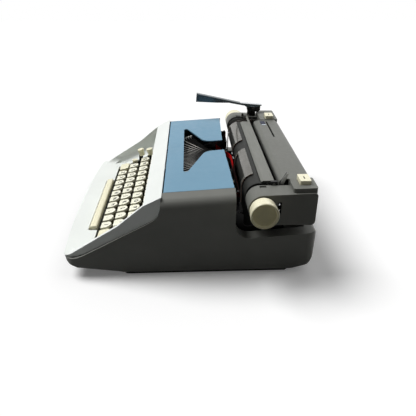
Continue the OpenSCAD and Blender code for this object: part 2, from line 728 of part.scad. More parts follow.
module ribbon_spool_left() { color("#26262a") translate([-spool_x, spool_y, 0]) ribbon_spool(); }
module ribbon_spool_right() { color("#26262a") translate([spool_x, spool_y, 0]) ribbon_spool(); }
module ribbon() {
    leave = spool_y + 6;
    reach = spool_x + sqrt(pow(pack_r + ribbon_t + seat_gap, 2) - pow(leave - spool_y, 2)) + 0.1;
    down = atan2(reach - guide_x - ribbon_turn, guide_y - leave);
    // edges of the bend lie on the guide post: their normals turn from the rear to the side
    turn = [for (i = [0:3]) 90 - (90 - down) * i / 3];
    half = concat(
        [[0, ribbon_y]],
        [for (i = [0:2]) let (a = (turn[i] + turn[i + 1]) / 2, r = ribbon_turn / cos((turn[0] - turn[1]) / 2))
            [guide_x, guide_y] + r * [cos(a), sin(a)]],
        [[reach, leave]]);
    line = concat([for (i = [4:-1:1]) [-half[i][0], half[i][1]]], half);
    color("#7a1414") translate([0, 0, ribbon_z]) linear_extrude(ribbon_h) polygon(sheet(line, ribbon_t));
}
module ribbon_vibrator() {
    y = card_bar_y + seat_gap;
    color("#c9ccd0") along_y(y, y + 0.8) difference() {
        union() {
            translate([-13, ribbon_z - 6]) square([26, ribbon_h + 9]);
            translate([-4, card_bar_z - 6]) square([8, ribbon_z - card_bar_z + 2]);
        }
        translate([-5, ribbon_z + 1]) square([10, ribbon_h + 3]);
    }
}

// Card holders: clear plates round the platen's front, on legs from the frame's bar
holder_gap = 1.3;
holder_t = 1;
holder_in = platen_r + holder_gap;
holder_from = 17;
holder_l = 89;
leg_w = 6;
module holder_arc(a0, a1, x0, x1) {
    translate([0, platen_y, platen_z]) along_x(x0, x1) intersection() {
        difference() {
            circle(r = holder_in + holder_t);
            circle(r = holder_in);
        }
        polygon(concat([[0, 0]],
            [for (i = [0:6]) let (a = a0 + (a1 - a0) * i / 6) 2.5 * platen_r * [cos(a), sin(a)]]));
    }
}
module card_holders() {
    leg_y = platen_y - holder_in - holder_t;
    color("#9aa0a0") both_sides() union() {
        holder_arc(103, 141, holder_from, holder_from + holder_l);
        for (x = [holder_from, holder_from + holder_l - leg_w]) {
            holder_arc(140, 181, x, x + leg_w);
            translate([x, leg_y, card_bar_z]) cube([leg_w, holder_t, platen_z - card_bar_z]);
            translate([x, card_bar_y - 5, card_bar_z]) cube([leg_w, leg_y - card_bar_y + 5.5, holder_t]);
        }
    }
}

// Ribbon cover: a thin crowned sheet with turned-down edges, hinged at its front edge
cover_x = opening_x - 0.5;
cover_front = hinge_y - 3;
cover_rear = step_y - 0.8;
cover_drop = 9;       // depth of the turned-down side edges
function cover_side(dy, dz) = [
    [cover_front + dy, top_front_z - 4, 0], [cover_front + dy, top_front_z - 0.4 + dz, 1.5],
    [cover_front + 26 + dy, top_front_z + 5.2 + dz, 60],
    [cover_rear + 4 + dy, strip_z + cover_crown + 2 + dz, 0], [cover_rear + 4 + dy, 70, 0],
    [cover_front + dy, 70, 0]
];
function crown(half, dz) =
    concat([for (i = [-6:6]) let (u = i / 6) [half * u, strip_z + cover_crown * (1 - u * u) + dz]],
           [[half, 60], [-half, 60]]);
module cover_volume(half, dy, dz) {
    intersection() {
        along_x(-half, half) polygon(rounded([for (i = [5:-1:0]) cover_side(dy, dz)[i]], 8));
        translate([0, step_y, strip_z]) rotate([strip_fall, 0, 0]) translate([0, -step_y, -strip_z])
            along_y(-200, 200) polygon(crown(half, dz));
    }
}
module type_opening() {
    far = cover_rear + 20;
    polygon(rounded([
        [-funnel_w, funnel_y, 3], [funnel_w, funnel_y, 3], [funnel_w - 1, funnel_y + 6, 4],
        [channel_w + 0.5, funnel_y + 30.5, 16], [channel_w, far, 0], [-channel_w, far, 0],
        [-channel_w - 0.5, funnel_y + 30.5, 16], [-funnel_w + 1, funnel_y + 6, 4]
    ]));
}
module ribbon_cover() {
    color("#7da3be") difference() {
        union() {
            difference() {
                cover_volume(cover_x, 0, 0);
                cover_volume(cover_x - cover_t, cover_t, -cover_t);
                translate([-200, -100, top_front_z - 60]) cube([400, 300, 60 - 4.5]);
                // the side edges follow the strips
                translate([0, step_y, strip_z - cover_drop]) rotate([strip_fall, 0, 0])
                    translate([-200, -200, -60]) cube([400, 400, 60]);
            }
            both_sides() rod_x(2.6, opening_x - 7, opening_x - 2.5, hinge_y, hinge_z);
        }
        both_sides() rod_x(hinge_r + run_gap, opening_x - 10, opening_x + 2, hinge_y, hinge_z);
        linear_extrude(200) type_opening();
        // rear edge, deeper in the middle
        linear_extrude(200) polygon([
            [-opening_x - 5, cover_rear], [0, cover_rear - cover_notch], [opening_x + 5, cover_rear],
            [opening_x + 5, cover_rear + 40], [-opening_x - 5, cover_rear + 40]
        ]);
    }
}

// Carriage frame: end plates, a channel that rides on the rail, and the trough below the platen
channel_gap = 0.1;
channel_t = 3;
channel_top = rail_z + rail_h + channel_gap + channel_t;
function end_profile(r, top) = [
    [platen_y, platen_z + r, 0], [platen_y, platen_z - r, 0], [platen_y + 14, channel_top - channel_t + 6, 6],
    [carriage_rear - 4, channel_top - channel_t + 1, 4], [carriage_rear - 4, top, 4]
];
module carriage_frame() {
    rail_side = rail_w / 2 + channel_gap;
    color("#232425") difference() {
        union() {
            both_sides() along_x(plate_x, plate_x + plate_t) {
                translate([platen_y, platen_z]) circle(r = platen_r - 1);
                polygon(rounded(end_profile(platen_r - 1, end_z - 4)));
                translate([bail_y - 4, platen_z]) square([8, bail_z - platen_z + 3.5]);
            }
            // inverted channel round the rail
            translate([-plate_x - 1, rail_y - rail_side - channel_t, rail_z + rail_h + channel_gap])
                cube([2 * plate_x + 2, 2 * (rail_side + channel_t), channel_t]);
            for (s = [-1, 1])
                translate([-plate_x - 1, rail_y + s * (rail_side + channel_t / 2) - channel_t / 2, rail_z + 2])
                    cube([2 * plate_x + 2, channel_t, rail_h + channel_gap]);
            // trough that turns the paper round the platen
            translate([0, platen_y, platen_z]) along_x(-plate_x - 1, plate_x + 1) intersection() {
                difference() {
                    circle(r = platen_r + 3.2);
                    circle(r = platen_r + 2);
                }
                polygon(concat([[0, 0]], [for (i = [0:6]) let (a = 218 + 22 * i) 60 * [cos(a), sin(a)]]));
            }
            translate([-plate_x - 1, platen_y + platen_r + 1.5, channel_top - 1])
                cube([2 * plate_x + 2, 1.6, platen_z - channel_top - 4]);
            // floor and beam behind, which the paper table is screwed to
            translate([-plate_x - 1, rail_y + rail_side, channel_top - 1.6])
                cube([2 * plate_x + 2, carriage_rear - table_t - seat_gap - rail_y - rail_side, 1.6]);
            translate([-plate_x - 1, carriage_rear - table_t - 6, 84]) cube([2 * plate_x + 2, 6, 7]);
            // line spacing arm and its stay, on the left end plate
            arm_x = -(plate_x + spacing_x) / 2 - 2;
            along_x(arm_x, arm_x + 2.4) polygon(rounded([
                [bail_y - 19, platen_z + 11, 1.5], [bail_y - 6, platen_z + 8.4, 4], [bail_y + 5, platen_z + 5, 2],
                [bail_y + 9.4, platen_z + 8, 2], [bail_y + 9.4, platen_z + 16, 3], [bail_y + 5, platen_z + 16.4, 2],
                [bail_y + 2.6, platen_z + 13.4, 2], [bail_y - 8, platen_z + 13.4, 4], [bail_y - 18, platen_z + 14, 1.2]]));
            rod_x(2.2, -plate_x - 1, arm_x + 5, bail_y + 6.4, platen_z + 8.6);
            rod_x(1.5, arm_x - 3, arm_x + 6, bail_y + 6.4, platen_z + 13.6);
        }
        rod_x(shaft_r + run_gap, -plate_x - 20, plate_x + 20, platen_y, platen_z);
        rod_x(bail_pin_r + run_gap, -plate_x - 20, plate_x + 20, bail_y, bail_z);
        rod_x(release_r + run_gap, plate_x - 2, plate_x + 20, release_y, release_z);
        // room for the end covers' raised blocks
        translate([-plate_x - 20, block_front - seat_gap, block_base - seat_gap])
            cube([2 * plate_x + 40, 60, 40]);
    }
}

// Carriage end covers: hollow mouldings with a round nose, a raised rear block and a button pocket
end_wall = 2;
end_taper = 4.2;
module end_outline(t) {
    p = end_profile(platen_r + 0.5, end_z);
    translate([platen_y, platen_z]) circle(r = platen_r + 0.5 - t);
    polygon(rounded(inset([
        [platen_y, platen_z - platen_r - 0.5, 0], [p[2][0], channel_top + 4, 12],
        [carriage_rear, channel_top + 1, 5], [carriage_rear, end_z, 4],
        [platen_y, platen_z + platen_r + 0.5, 0]], t)));
}
module end_solid(t) {
    difference() {
        along_x(cover_in, end_x + 4) end_outline(t);
        translate([end_x - t, platen_y, 0]) rotate([0, 0, end_taper]) translate([0, -200, 0])
            cube([60, 400, 200]);
    }
}
module end_cover(block_in, button_x) {
    block_out = end_x - 6;
    difference() {
        union() {
            difference() {
                end_solid(0);
                translate([-0.01, 0, 0]) end_solid(end_wall);
            }
            // raised block with the pocket of the margin button
            translate([0, 0, end_z - 9]) linear_extrude(block_z - end_z + 9) polygon(rounded([
                [block_in, block_front, 1.5], [block_out, block_front, 3],
                [block_out - 1.4, carriage_rear, 3], [block_in, carriage_rear, 1.5]]));
            // wall below the block, beside the paper table's end
            translate([block_in, carriage_rear - end_wall + 0.2, channel_top + 4])
                cube([cover_in - block_in + 1, end_wall - 0.2, end_z - 4 - channel_top]);
        }
        rod_x(shaft_r + seat_gap, cover_in - 1, end_x + 10, platen_y, platen_z);
        translate([button_x - button_w / 2 - seat_gap, button_y - button_l / 2 - seat_gap, end_z - 5])
            cube([button_w + 2 * seat_gap, button_l + 2 * seat_gap, 40]);
        // the paper table's end runs up to the block
        translate([block_in - 1, block_front - 1, block_base - 12])
            cube([cover_in - block_in + 1, carriage_rear - end_wall + 0.2 - block_front + 1, 12]);
        // slots over the platen's bearing and in the end
        translate([cover_in + 1.5, platen_y - 1, platen_z + platen_r - 1.2]) cube([5, 8, 4]);
        translate([end_x - 8, platen_y + 17.6, platen_z - 9]) cube([12, 4.4, 16]);
    }
}
module carriage_end_covers() {
    color("#4a4b4c") {
        end_cover(cover_in - 9, button_right);
        union() {
            mirror([1, 0, 0]) end_cover(table_left + 0.6, button_left);
            // post that the return lever turns on, and the tab that sets the line space
            translate([post_x, post_y, end_z - 1]) cylinder(r = post_r, h = lever_root - end_z);
            along_x(-cover_in - 5, -cover_in - 2.6) polygon(rounded([
                [platen_y + 8, end_z - 1, 0], [platen_y + 13, end_z - 1, 0], [platen_y + 11.6, end_z + 5.6, 1.4],
                [platen_y + 8.6, end_z + 6, 1.4]]));
        }
    }
}

// Margin buttons in their pockets
module margin_button(x) {
    bottom = end_z - 5 + 3.6;
    color("#efe9c8") translate([x, button_y, bottom]) {
        difference() {
            linear_extrude(block_z + 5 - bottom) polygon(rounded([
                [-button_w / 2, -button_l / 2, 1.5], [button_w / 2, -button_l / 2, 1.5],
                [button_w / 2, button_l / 2, 1.5], [-button_w / 2, button_l / 2, 1.5]]));
            translate([-3.5, -0.8, block_z + 4.3 - bottom]) cube([7, 1.6, 2]);
        }
    }
}
module margin_button_left() { margin_button(-button_left); }
module margin_button_right() { margin_button(button_right); }

// Paper table: top sheet with a rolled front edge, bent down behind the carriage
module paper_table() {
    top = block_z - 0.4;
    table_x = cover_in - 9 - seat_gap;
    front = rounded([
        [table_y + 2.4, top - 14, 0], [table_y, top - 3, 4], [table_y + 6, top - 0.8, 9],
        [carriage_rear, top, 7], [carriage_rear, channel_top + 4, 0], [carriage_rear - 60, channel_top + 4, 0]], 6);
    // the last corner only closes the outline, so the sheet stops before it
    line = [for (i = [0:len(front) - 2]) front[i]];
    color("#6d6e6d") difference() {
        along_x(-table_left, table_x) polygon(sheet(line, table_t));
        translate([-table_left + 8, carriage_rear - 21, top - 6]) cube([75, 2.6, 12]);
    }
}

// Platen with its shaft, and the knobs on the shaft's ends
knob_x = end_x + (platen_r + 0.5) * tan(end_taper) + 0.4;
module platen() {
    color("#242526") union() {
        rod_x(platen_r, -spacing_x, platen_l, platen_y, platen_z);
        rod_x(shaft_r, -knob_x - knob_l + 5.8, knob_x + knob_l - 5.8, platen_y, platen_z);
        // line space ratchet at the left end
        translate([-spacing_x, platen_y, platen_z]) rotate([0, -90, 0]) {
            cylinder(r = platen_r - 5, h = 4);
            for (a = [0:18:342]) rotate([0, 0, a]) translate([platen_r - 5.4, -1, 1]) cube([2.4, 2, 3]);
        }
    }
}
module knob() {
    rim = knob_r - 3.6;
    rotate([0, 90, 0]) difference() {
        rotate_extrude() polygon(rounded([
            [0, 0, 0], [knob_r - 1.2, 0, 1], [knob_r, knob_l, 1.8], [rim, knob_l, 1.2],
            [rim - 0.6, knob_l - 3.2, 0.6], [0, knob_l - 2.8, 0]], 3));
        translate([0, 0, -1]) cylinder(r = shaft_r + run_gap, h = knob_l - 4.2);
        // finger grooves round the knob's inner half
        for (a = [0:15:345]) rotate([0, 0, a]) translate([knob_r + 0.2, 0, -1]) cylinder(r = 0.9, h = knob_l * 0.55);
    }
}
module platen_knobs() {
    color("#ece6c4") both_sides() translate([knob_x, platen_y, platen_z]) knob();
}

// Paper bail: a flat bar over the platen that lifts on two pins along its rear edge
bail_pin_r = 1.8;
module paper_bail() {
    bar_x = plate_x - 4;
    color("#9c9d9a") union() {
        along_x(-table_left, bar_x) polygon(rounded([
            [bail_y - bail_w, bail_z - 0.2, 0.5], [bail_y - bail_w + 0.4, bail_z - 1, 0.3],
            [bail_y, bail_z - 1.2, 0], [bail_y, bail_z + 1.2, 0.6], [bail_y - bail_w + 3, bail_z + 1.4, 2]]));
        rod_x(bail_pin_r, -plate_x - plate_t + 0.5, plate_x + plate_t - 0.5, bail_y, bail_z);
    }
}

// Paper release lever beside the paper table's right end
release_r = 2.2;
release_y = table_y + 3;
release_z = platen_z + 2;
module paper_release_lever() {
    x0 = plate_x - 3;
    color("#111111") union() {
        along_x(x0, plate_x - 0.6) {
            translate([release_y, release_z]) circle(r = 4.4);
            polygon(rounded([
                [release_y - 3, release_z, 0], [release_y + 3, release_z, 0], [release_y + 3.4, release_z + 16, 8],
                [release_y + 8, release_z + 27, 0.8], [release_y + 5, release_z + 28, 0.8],
                [release_y - 1.6, release_z + 16, 8]]));
        }
        rod_x(release_r, plate_x - 1, plate_x + plate_t - 0.5, release_y, release_z);
    }
}

// Carriage return lever: a hub on its post and a channelled arm that widens to the tip
lever_root = end_z + 16;
module return_lever() {
    hub_r = post_r + 4.2;
    root_z = lever_root;
    arm_in = post_x + 5;
    arm_w = 9;
    top_line = [[post_y + 17, root_z + 1.6], [post_y - 3, root_z + 3.2], [post_y - 20, root_z + 5],
                [lever_tip_y, lever_tip_z]];
    color("#c4c8cc") difference() {
        union() {
            translate([post_x, post_y, end_z + 0.5 + seat_gap]) cylinder(r = hub_r, h = root_z - end_z);
            // bracket below the root plate
            along_x(post_x - 3.6, arm_in - 0.4) polygon(rounded([
                [post_y - 4, block_z + 1.4, 1], [post_y + 12, block_z + 1.4, 1], [post_y + 15, block_z + 5, 2],
                [post_y + 15, root_z + 1, 0], [post_y - 8, root_z + 2.4, 0], [post_y - 8, block_z + 5, 2]]));
            along_x(arm_in - arm_w, arm_in) polygon(sheet(top_line, 1.6));
            // web below the sheet, deepest at the tip
            along_x(arm_in - 1.6, arm_in) polygon(concat(top_line, [
                [lever_tip_y - 1, lever_tip_z - 12], [lever_tip_y + 34, lever_tip_z - 14],
                [post_y - 40, root_z + 4.4], [post_y - 12, root_z - 1], [post_y + 3, root_z - 2]]));
        }
        translate([post_x, post_y, 0]) cylinder(r = post_r + run_gap, h = lever_root - 1 + seat_gap);
    }
}

body_shell();
keyboard_surround();
base_pan();
rubber_feet();
main_frame();
type_segment();
typebars();
ribbon_cover();
ribbon_spool_left();
ribbon_spool_right();
ribbon();
ribbon_vibrator();
card_holders();
carriage_frame();
carriage_end_covers();
paper_table();
platen();
platen_knobs();
paper_bail();
return_lever();
paper_release_lever();
margin_button_left();
margin_button_right();
space_bar();
shift_keys();
tab_key();
margin_release_key();
number_keys();
for (row = [0:2]) for (k = [0:len(row_names[row]) - 1])
    letter_key(row, k);
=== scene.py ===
"""Looks of the portable typewriter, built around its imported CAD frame. All sizes are in metres."""

import json
import math

import bmesh
import bpy
from mathutils import Matrix, Vector


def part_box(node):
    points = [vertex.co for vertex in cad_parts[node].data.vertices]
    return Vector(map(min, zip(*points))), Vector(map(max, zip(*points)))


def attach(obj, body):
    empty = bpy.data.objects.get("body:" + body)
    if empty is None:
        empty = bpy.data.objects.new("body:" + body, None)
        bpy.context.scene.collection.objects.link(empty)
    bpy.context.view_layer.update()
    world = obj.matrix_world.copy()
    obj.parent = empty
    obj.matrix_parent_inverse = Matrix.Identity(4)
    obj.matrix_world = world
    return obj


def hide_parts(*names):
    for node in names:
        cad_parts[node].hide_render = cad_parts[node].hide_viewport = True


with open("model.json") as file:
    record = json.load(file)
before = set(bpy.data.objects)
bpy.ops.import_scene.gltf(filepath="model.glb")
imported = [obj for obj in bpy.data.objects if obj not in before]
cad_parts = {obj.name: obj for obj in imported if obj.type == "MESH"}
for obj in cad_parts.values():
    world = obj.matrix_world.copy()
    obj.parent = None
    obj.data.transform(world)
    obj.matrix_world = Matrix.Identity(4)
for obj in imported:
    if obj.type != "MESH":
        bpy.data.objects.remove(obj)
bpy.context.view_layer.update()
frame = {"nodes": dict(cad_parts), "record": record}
nodes = frame["nodes"]
body_of_node = {n: b for b, members in frame["record"]["behaviour"]["bodies"].items() for n in members}
MM = 0.001


# Camera at the photograph's viewing angle

CAMERA_AT = Vector((602.7, 6.5, 333.9)) * MM
CAMERA_DOWN = math.radians(28.325)
CAMERA_YAW = math.radians(-2.389)
CAMERA_ROLL = math.radians(0.063)
CAMERA_LENS = 38.08


def make_camera():
    level = math.cos(CAMERA_DOWN)
    ahead = Vector((-level * math.cos(CAMERA_YAW), -level * math.sin(CAMERA_YAW), -math.sin(CAMERA_DOWN)))
    right = ahead.cross(Vector((0, 0, 1))).normalized()
    up = right.cross(ahead)
    turned_right = right * math.cos(CAMERA_ROLL) + up * math.sin(CAMERA_ROLL)
    turned_up = up * math.cos(CAMERA_ROLL) - right * math.sin(CAMERA_ROLL)
    data = bpy.data.cameras.new("camera")
    data.sensor_width = 36
    data.lens = CAMERA_LENS
    data.clip_start = 0.01
    camera = bpy.data.objects.new("camera", data)
    turn = Matrix((turned_right, turned_up, -ahead)).transposed().to_4x4()
    camera.matrix_world = Matrix.Translation(CAMERA_AT) @ turn
    bpy.context.scene.collection.objects.link(camera)
    bpy.context.scene.camera = camera


# Materials

def linear(srgb):
    """An 8-bit screen colour as the linear colour that a shader takes."""
    def channel(c):
        c /= 255
        return c / 12.92 if c <= 0.04045 else ((c + 0.055) / 1.055) ** 2.4
    return tuple(channel(c) for c in srgb) + (1.0,)


def shaded(colour, factor):
    return tuple(min(1.0, c * factor) for c in colour[:3]) + (1.0,)


class Finish:
    """A material with its node tree and a few helpers to wire it."""

    def __init__(self, name):
        self.material = bpy.data.materials.new(name)
        self.material.use_nodes = True
        self.tree = self.material.node_tree
        self.bsdf = self.tree.nodes["Principled BSDF"]
        self.coords = self.node("ShaderNodeTexCoord").outputs["Object"]

    def node(self, kind, **settings):
        made = self.tree.nodes.new(kind)
        for key, value in settings.items():
            if key in made.inputs:
                made.inputs[key].default_value = value
            else:
                setattr(made, key, value)
        return made

    def link(self, output, target):
        self.tree.links.new(output, target)

    def noise(self, scale, detail=3.0, stretch=None):
        """Noise of so many cells a metre, from 0 to 1, drawn out along an axis if stretch says so."""
        source = self.coords
        if stretch:
            mapping = self.node("ShaderNodeMapping", Scale=stretch)
            self.link(source, mapping.inputs["Vector"])
            source = mapping.outputs["Vector"]
        made = self.node("ShaderNodeTexNoise", Scale=scale, Detail=detail)
        self.link(source, made.inputs["Vector"])
        return made.outputs["Fac"]

    def span(self, value, low, high, start=0.3, end=0.7):
        made = self.node("ShaderNodeMapRange")
        for name, number in zip(("From Min", "From Max", "To Min", "To Max"), (start, end, low, high)):
            made.inputs[name].default_value = number
        self.link(value, made.inputs["Value"])
        return made.outputs["Result"]

    def mix(self, factor, a, b):
        made = self.node("ShaderNodeMix", data_type="RGBA")
        self.link(factor, made.inputs["Factor"])
        for value, target in ((a, made.inputs["A"]), (b, made.inputs["B"])):
            if isinstance(value, tuple):
                target.default_value = value
            else:
                self.link(value, target)
        return made.outputs["Result"]

    def bump(self, height, strength, depth):
        made = self.node("ShaderNodeBump", Strength=strength, Distance=depth)
        self.link(height, made.inputs["Height"])
        return made.outputs["Normal"]


UNEVEN_GLOSS = 0.06            # roughness varies by so much to both sides
GLOSS_FINER = 9                # and over cells so many times smaller than the clouds of colour
GRAIN_STRENGTH = 0.35
SMOOTH_GRAIN = 0.000006        # depth of the grain on smooth mouldings
COARSE_GRAIN = 0.00005         # and on grained paint


def surface(name, srgb, rough, metal=0.0, spread=0.07, cloud=22.0, grain=1600.0, grain_depth=0.00003,
            stretch=None, specular=0.5):
    """A finish with clouded colour, uneven gloss and fine grain."""
    f = Finish(name)
    base = linear(srgb)
    clouds = f.span(f.noise(cloud, detail=5.0), 0, 1)
    f.link(f.mix(clouds, shaded(base, 1 - spread), shaded(base, 1 + spread)), f.bsdf.inputs["Base Color"])
    gloss = f.noise(cloud * GLOSS_FINER, stretch=stretch)
    f.link(f.span(gloss, rough - UNEVEN_GLOSS, rough + UNEVEN_GLOSS), f.bsdf.inputs["Roughness"])
    f.link(f.bump(f.noise(grain, stretch=stretch), GRAIN_STRENGTH, grain_depth), f.bsdf.inputs["Normal"])
    f.bsdf.inputs["Metallic"].default_value = metal
    f.bsdf.inputs["Specular IOR Level"].default_value = specular
    return f


RED_UNSHADED_SPAN = (-0.056, -0.050, 0.018, 0.034)   # along X: the unshaded red begins, is full, begins to fade into painted shade, has faded
RIBBON_BLEND = 0.0003          # half the height over which black turns to red
BLACK_INK = (16, 14, 15)
RIBBON_RED = (196, 18, 20)
# painted shade on the red half away from the printing point, mottled between these two
SHADED_RED = ((20, 9, 10), (84, 13, 14))


def ribbon_finish():
    """Inked weave, black below and red above: full red at the printing point, and elsewhere a darker, mottled
    red that is painted shade.
    """
    f = Finish("ribbon_cloth")
    place = f.node("ShaderNodeSeparateXYZ")
    f.link(f.coords, place.inputs["Vector"])
    low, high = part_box("ribbon")
    middle = (low.z + high.z) / 2
    half = f.span(place.outputs["Z"], 0, 1, middle - RIBBON_BLEND, middle + RIBBON_BLEND)
    unshaded = f.node("ShaderNodeMath", operation="MULTIPLY")
    f.link(f.span(place.outputs["X"], 0, 1, *RED_UNSHADED_SPAN[:2]), unshaded.inputs[0])
    f.link(f.span(place.outputs["X"], 1, 0, *RED_UNSHADED_SPAN[2:]), unshaded.inputs[1])
    # painted shade: the mottled dark red
    shaded_red = f.mix(f.span(f.noise(300), 0, 1, 0.5, 0.66), linear(SHADED_RED[0]), linear(SHADED_RED[1]))
    red = f.mix(unshaded.outputs["Value"], shaded_red, linear(RIBBON_RED))
    f.link(f.mix(half, linear(BLACK_INK), red), f.bsdf.inputs["Base Color"])
    f.bsdf.inputs["Roughness"].default_value = 0.85
    f.bsdf.inputs["Specular IOR Level"].default_value = 0.1
    f.link(f.bump(f.noise(4000, stretch=(1, 1, 3)), 0.6, 0.00008), f.bsdf.inputs["Normal"])
    return f


FAN_CENTRE = Vector((0, 0.052, 0.095))   # middle of the circle that the type bars stand on
BAR_BRIGHT = (0.038, 0.058)    # distances from it at which the painted highlight on the upper faces begins and is full
BAR_TOP = (0.25, 0.55)         # upward part of the normal at which a face carries the painted highlight


def typebar_finish():
    """Blackened bars whose upward faces carry a painted highlight, fading towards the middle of the fan."""
    f = Finish("typebar_steel")
    geometry = f.node("ShaderNodeNewGeometry")
    way = f.node("ShaderNodeSeparateXYZ")
    f.link(geometry.outputs["Normal"], way.inputs["Vector"])
    top = f.span(way.outputs["Z"], 0, 1, *BAR_TOP)
    # painted highlight: a light tone for the bars' upward faces
    painted_highlight = f.mix(f.span(f.noise(220), 0, 1), linear((222, 220, 213)), linear((248, 246, 240)))
    out = f.node("ShaderNodeVectorMath", operation="DISTANCE")
    f.link(f.coords, out.inputs[0])
    out.inputs[1].default_value = FAN_CENTRE
    # the painted highlight fades to dark grey towards the middle of the fan
    fading = f.mix(f.span(out.outputs["Value"], 0, 1, *BAR_BRIGHT), linear((60, 59, 57)), painted_highlight)
    f.link(f.mix(top, linear((14, 13, 13)), fading), f.bsdf.inputs["Base Color"])
    f.bsdf.inputs["Metallic"].default_value = 0.2
    f.bsdf.inputs["Specular IOR Level"].default_value = 0.15
    f.link(f.span(f.noise(500), 0.32, 0.5), f.bsdf.inputs["Roughness"])
    return f


def clear_finish():
    """Clear plastic, a little milky with age."""
    f = Finish("clear_plastic")
    milky = f.mix(f.span(f.noise(90), 0, 1), linear((120, 118, 110)), linear((146, 144, 136)))
    f.link(milky, f.bsdf.inputs["Base Color"])
    f.bsdf.inputs["Transmission Weight"].default_value = 0.5
    f.bsdf.inputs["IOR"].default_value = 1.46
    f.link(f.span(f.noise(120), 0.04, 0.14), f.bsdf.inputs["Roughness"])
    return f


def make_finishes():
    made = {
        "shell": surface("shell_grey", (124, 125, 120), 0.42, grain=2200, grain_depth=COARSE_GRAIN,
                         specular=0.16),
        "surround": surface("surround_white", (240, 244, 240), 0.38, spread=0.025, grain=1100, specular=0.4),
        "pan": surface("pan_black", (16, 16, 16), 0.6, specular=0.05),
        "rubber": surface("foot_rubber", (18, 18, 18), 0.85, specular=0.05),
        "frame": surface("frame_black", (22, 22, 23), 0.4, specular=0.15),
        "segment": surface("segment_steel", (28, 27, 26), 0.5, metal=0.3, stretch=(1, 12, 1), specular=0.15),
        "typebars": typebar_finish(),
        "bar": surface("typebar_black", (14, 13, 13), 0.4, specular=0.15, stretch=(4, 1, 1)),
        "cover": surface("cover_blue", (110, 152, 177), 0.4, spread=0.035, cloud=14, grain=1300,
                         specular=0.25),
        "spool": surface("spool_black", (24, 24, 27), 0.3, specular=0.2),
        "ribbon": ribbon_finish(),
        # bright steel, also laid on the vibrator's upward faces as a painted highlight
        "bright": surface("bright_steel", (205, 208, 212), 0.2, metal=1.0, spread=0.04),
        "clear": clear_finish(),
        "carriage": surface("carriage_grey", (114, 115, 110), 0.46, grain=2200, grain_depth=COARSE_GRAIN,
                            specular=0.1),
        "table": surface("table_grey", (112, 113, 108), 0.42, spread=0.05, grain=1500, specular=0.12),
        "platen": surface("platen_rubber", (46, 47, 45), 0.55, spread=0.1, specular=0.1),
        "knob": surface("knob_cream", (244, 239, 208), 0.3, spread=0.015, cloud=60, grain_depth=SMOOTH_GRAIN),
        # painted shade: the knobs' sunk discs in a darker, yellower cream
        "disc": surface("knob_disc", (222, 215, 174), 0.5, spread=0.08, cloud=90, specular=0.2),
        "bail": surface("bail_grey", (116, 117, 111), 0.4, spread=0.05, stretch=(0.2, 4, 4), specular=0.2),
        # painted reflection: a dark bluish base makes the chrome look as if it mirrored dark surroundings
        "chrome": surface("lever_chrome", (84, 94, 98), 0.2, metal=1.0, spread=0.1, cloud=40),
        "plate": surface("bearing_plate", (168, 168, 164), 0.34, metal=0.9, spread=0.06, cloud=120),
        "link": surface("link_bronze", (66, 56, 48), 0.3, metal=0.8, spread=0.15, cloud=80),
        "edge": surface("plastic_edge", (112, 72, 54), 0.35, spread=0.15, cloud=150),
        "slug": surface("type_slug", (242, 240, 234), 0.3, spread=0.06, cloud=300),
        "pale": surface("pale_label", (196, 208, 216), 0.3, spread=0.05, cloud=200),
        "navy": surface("small_plate", (18, 26, 52), 0.4, spread=0.1, cloud=60, specular=0.1),
        "black": surface("gloss_black", (14, 14, 14), 0.22, specular=0.25),
        "key": surface("key_cream", (252, 250, 229), 0.28, spread=0.012, cloud=60, grain_depth=SMOOTH_GRAIN),
        # painted shade: the caps' skirts, below the cream top, in a darker brownish grey
        "skirt": surface("key_skirt_painted_shade", (112, 104, 78), 0.4, spread=0.08),
        "lever": surface("key_lever", (38, 38, 37), 0.45, metal=0.6),
        "legend": surface("legend_dark", (14, 13, 12), 0.5, spread=0.1, specular=0.2),
    }
    return {name: f.material for name, f in made.items()}


make_camera()
LOOK = make_finishes()


# Pieces that stand for CAD nodes

def add_piece(name, mesh, body):
    piece = bpy.data.objects.new(name, mesh)
    bpy.context.scene.collection.objects.link(piece)
    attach(piece, body)
    return piece


SHARP = math.radians(38)       # edges that turn by more than this are rounded, and break the shading


def soften(piece, width):
    """Rounds the edges of a piece a little and shades it evenly."""
    if width:
        bevel = piece.modifiers.new("round", "BEVEL")
        bevel.width = width
        bevel.segments = 2
        bevel.limit_method = "ANGLE"
        bevel.angle_limit = SHARP
        bevel.use_clamp_overlap = True
    even = piece.modifiers.new("even", "WEIGHTED_NORMAL")
    even.keep_sharp = True


def joined_faces(node):
    """The node's faces as one joined mesh, with its flat areas whole."""
    bm = bmesh.new()
    bm.from_mesh(nodes[node].data)
    bmesh.ops.remove_doubles(bm, verts=bm.verts, dist=2e-6)
    bmesh.ops.dissolve_limit(bm, angle_limit=math.radians(0.4), verts=bm.verts, edges=bm.edges)
    for face in bm.faces:
        face.smooth = True
        face.material_index = 0
    for edge in bm.edges:
        if len(edge.link_faces) == 2:
            edge.smooth = edge.calc_face_angle(0) < SHARP
    return bm


def dressed(node, looks, width, choose=None, extra=None):
    """A copy of a CAD node with even shading and its own finishes, which stands for the node.

    choose gives each face's place in looks, and extra changes or adds to the mesh.
    """
    bm = joined_faces(node)
    if choose:
        for face in bm.faces:
            face.material_index = choose(face)
    if extra:
        extra(bm)
    mesh = bpy.data.meshes.new(node + "_look")
    bm.to_mesh(mesh)
    bm.free()
    for name in looks:
        mesh.materials.append(LOOK[name])
    piece = add_piece(node + "_look", mesh, body_of_node[node])
    soften(piece, width)
    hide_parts(node)


# Nodes with one finish, and the width of their rounded edges in millimetres

